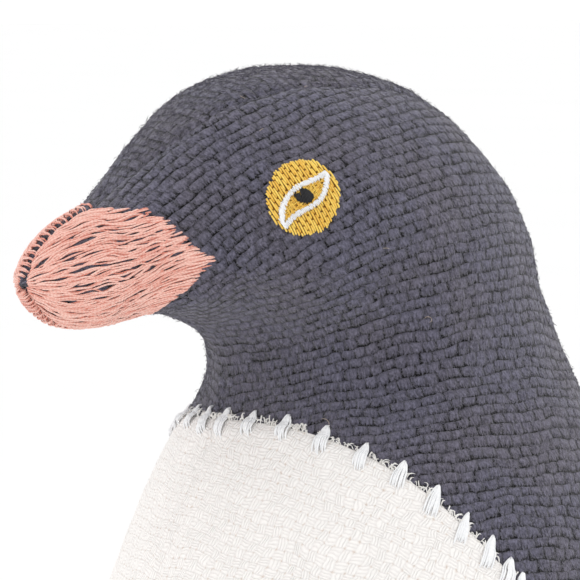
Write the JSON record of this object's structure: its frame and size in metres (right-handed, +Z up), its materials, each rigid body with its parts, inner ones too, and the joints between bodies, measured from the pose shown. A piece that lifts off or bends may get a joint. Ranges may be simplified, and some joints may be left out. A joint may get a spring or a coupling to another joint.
{
  "type": "plush penguin",
  "caption": "Standing stuffed penguin in woven cloth with an embroidered beak and eyes, a stitched-on white front, and flapping wings, feet and tail.",
  "frame": {"origin": "on the floor, at the centre of the round base", "axes": "+Z up; the face looks along -Y; the penguin's own left side is +X"},
  "size_m": [0.1434, 0.1634, 0.2499],
  "materials": {
    "slate_cloth": "charcoal grey basket-weave cotton, slightly fuzzy",
    "cream_cloth": "off-white loose basket-weave cotton with raw edges",
    "salmon_cloth": "salmon cotton cloth",
    "white_thread": "thick white stitching thread",
    "slate_thread": "charcoal sewing thread",
    "salmon_thread": "lustrous salmon embroidery thread",
    "yellow_thread": "golden yellow embroidery thread",
    "black_thread": "black embroidery thread",
    "backing": "plain non-woven lining",
    "stuffing": "white fibre filling",
    "pellets": "plain plastic granules"
  },
  "bodies": {
    "torso": {"side_panel_left": "slate_cloth", "side_panel_right": "slate_cloth", "head_gusset": "slate_cloth", "belly_panel": "cream_cloth", "base_panel": "slate_cloth", "belly_stitches_left": "white_thread", "belly_stitches_right": "white_thread", "closing_stitches": "slate_thread", "beak_embroidery_left": "salmon_thread", "beak_embroidery_right": "salmon_thread", "beak_seam_stitches": "salmon_thread", "beak_backing_left": "backing", "beak_backing_right": "backing", "eye_disc_left": "yellow_thread", "eye_disc_right": "yellow_thread", "eye_outline_left": "white_thread", "eye_outline_right": "white_thread", "eye_pupil_left": "black_thread", "eye_pupil_right": "black_thread", "eye_backing_left": "backing", "eye_backing_right": "backing", "head_stuffing": "stuffing", "body_stuffing": "stuffing", "pellet_bag": "backing", "pellet_fill": "pellets", "wing_stitches_left": "slate_thread", "wing_stitches_right": "slate_thread"},
    "tail": {"tail_top": "slate_cloth", "tail_underside": "slate_cloth", "tail_padding": "stuffing"},
    "wing_left": {"wing_left_outer": "slate_cloth", "wing_left_lining": "cream_cloth", "wing_left_padding": "stuffing"},
    "foot_left": {"foot_left_upper": "salmon_cloth", "foot_left_sole": "salmon_cloth", "foot_left_padding": "stuffing"},
    "wing_right": {"wing_right_outer": "slate_cloth", "wing_right_lining": "cream_cloth", "wing_right_padding": "stuffing"},
    "foot_right": {"foot_right_upper": "salmon_cloth", "foot_right_sole": "salmon_cloth", "foot_right_padding": "stuffing"}
  },
  "joints": [
    {"name": "wing_left_flap", "type": "hinge", "parent": "torso", "child": "wing_left", "pos_m": [0.0512, 0.017, 0.153], "axis": [0, -1, 0], "range_deg": [0, 90]},
    {"name": "foot_left_fold", "type": "hinge", "parent": "torso", "child": "foot_left", "pos_m": [0.02147, -0.04604, 0.006], "axis": [-0.9063, -0.4226, 0], "range_deg": [0, 45]},
    {"name": "wing_right_flap", "type": "hinge", "parent": "torso", "child": "wing_right", "pos_m": [-0.0512, 0.017, 0.153], "axis": [0, 1, 0], "range_deg": [0, 90]},
    {"name": "foot_right_fold", "type": "hinge", "parent": "torso", "child": "foot_right", "pos_m": [-0.02147, -0.04604, 0.006], "axis": [-0.9063, 0.4226, 0], "range_deg": [0, 45]},
    {"name": "tail_fold", "type": "hinge", "parent": "torso", "child": "tail", "pos_m": [0, 0.0558, 0.026], "axis": [1, 0, 0], "range_deg": [0, 50]}
  ]
}
